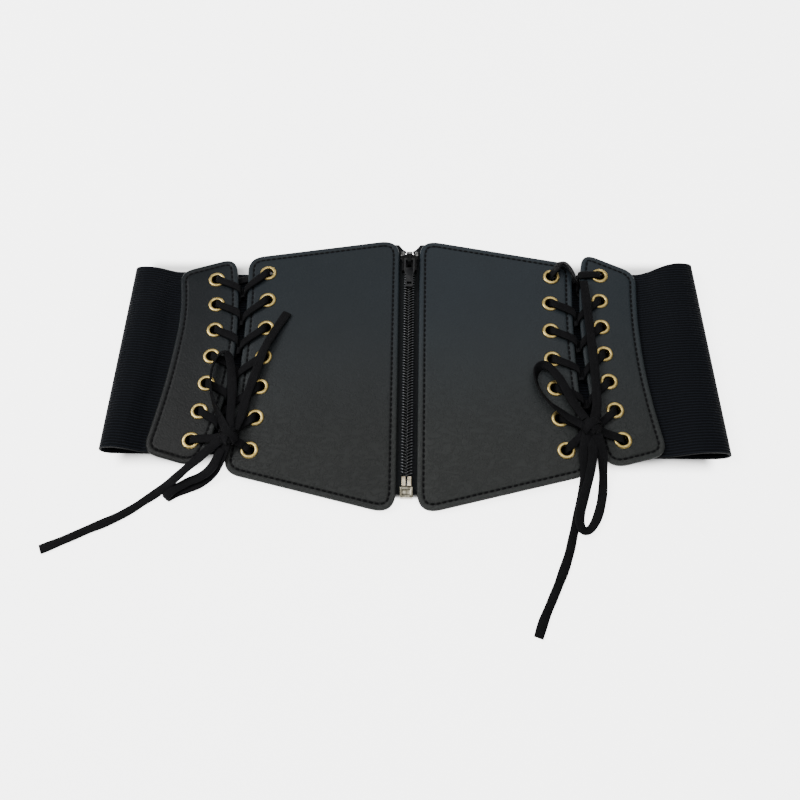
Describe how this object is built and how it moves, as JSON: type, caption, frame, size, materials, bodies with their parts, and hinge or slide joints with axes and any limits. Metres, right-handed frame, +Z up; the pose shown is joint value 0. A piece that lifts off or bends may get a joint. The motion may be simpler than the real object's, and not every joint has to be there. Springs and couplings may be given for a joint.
{
  "type": "corset belt",
  "caption": "Wide leather-look waist belt with a front zip, laced side panels tied in bows, and an elastic back.",
  "frame": {"origin": "on the table under the middle of the belt lying flat, without its free lace", "axes": "+X along the belt, +Y towards its upper edge, +Z up from the table"},
  "size_m": [0.3499, 0.2253, 0.0147],
  "materials": {
    "leather": "satin charcoal grain",
    "elastic": "ribbed black elastic",
    "zip_tape": "woven black tape",
    "zip_coil": "black nylon coil",
    "nickel": "bright nickel",
    "black_metal": "black enamel",
    "brass": "antique brass",
    "lace": "flat woven black lace"
  },
  "bodies": {
    "belt": {"front_panel_left": "leather", "front_panel_right": "leather", "side_panel_left": "leather", "side_panel_right": "leather", "elastic_band": "elastic", "zip_tape_left": "zip_tape", "zip_tape_right": "zip_tape", "zip_coil_left": "zip_coil", "zip_coil_right": "zip_coil", "top_stop_left": "nickel", "top_stop_right": "nickel", "insertion_pin": "nickel", "box_pin": "nickel", "retainer_box": "nickel", "slider_body": "black_metal", "eyelet_side_left_1": "brass", "eyelet_side_left_2": "brass", "eyelet_side_left_3": "brass", "eyelet_side_left_4": "brass", "eyelet_side_left_5": "brass", "eyelet_side_left_6": "brass", "eyelet_side_left_7": "brass", "eyelet_front_left_1": "brass", "eyelet_front_left_2": "brass", "eyelet_front_left_3": "brass", "eyelet_front_left_4": "brass", "eyelet_front_left_5": "brass", "eyelet_front_left_6": "brass", "eyelet_front_left_7": "brass", "eyelet_front_right_1": "brass", "eyelet_front_right_2": "brass", "eyelet_front_right_3": "brass", "eyelet_front_right_4": "brass", "eyelet_front_right_5": "brass", "eyelet_front_right_6": "brass", "eyelet_front_right_7": "brass", "eyelet_side_right_1": "brass", "eyelet_side_right_2": "brass", "eyelet_side_right_3": "brass", "eyelet_side_right_4": "brass", "eyelet_side_right_5": "brass", "eyelet_side_right_6": "brass", "eyelet_side_right_7": "brass", "lacing_left": "lace", "lacing_right": "lace", "bow_knot_left": "lace", "bow_knot_right": "lace", "bow_loop_left_up": "lace", "bow_loop_left_down": "lace", "bow_loop_right_up": "lace", "bow_loop_right_down": "lace", "lace_tail_left_up": "lace", "lace_tail_left_down": "lace", "lace_tail_right_up": "lace", "lace_tail_right_down": "lace"},
    "pull_tab": {"pull_tab": "black_metal"}
  },
  "joints": [
    {"name": "pull_tab_hinge", "type": "hinge", "parent": "belt", "child": "pull_tab", "pos_m": [-0.0032, 0.067, 0.00965], "axis": [-1, 0, 0], "range_deg": [0, 165]}
  ]
}
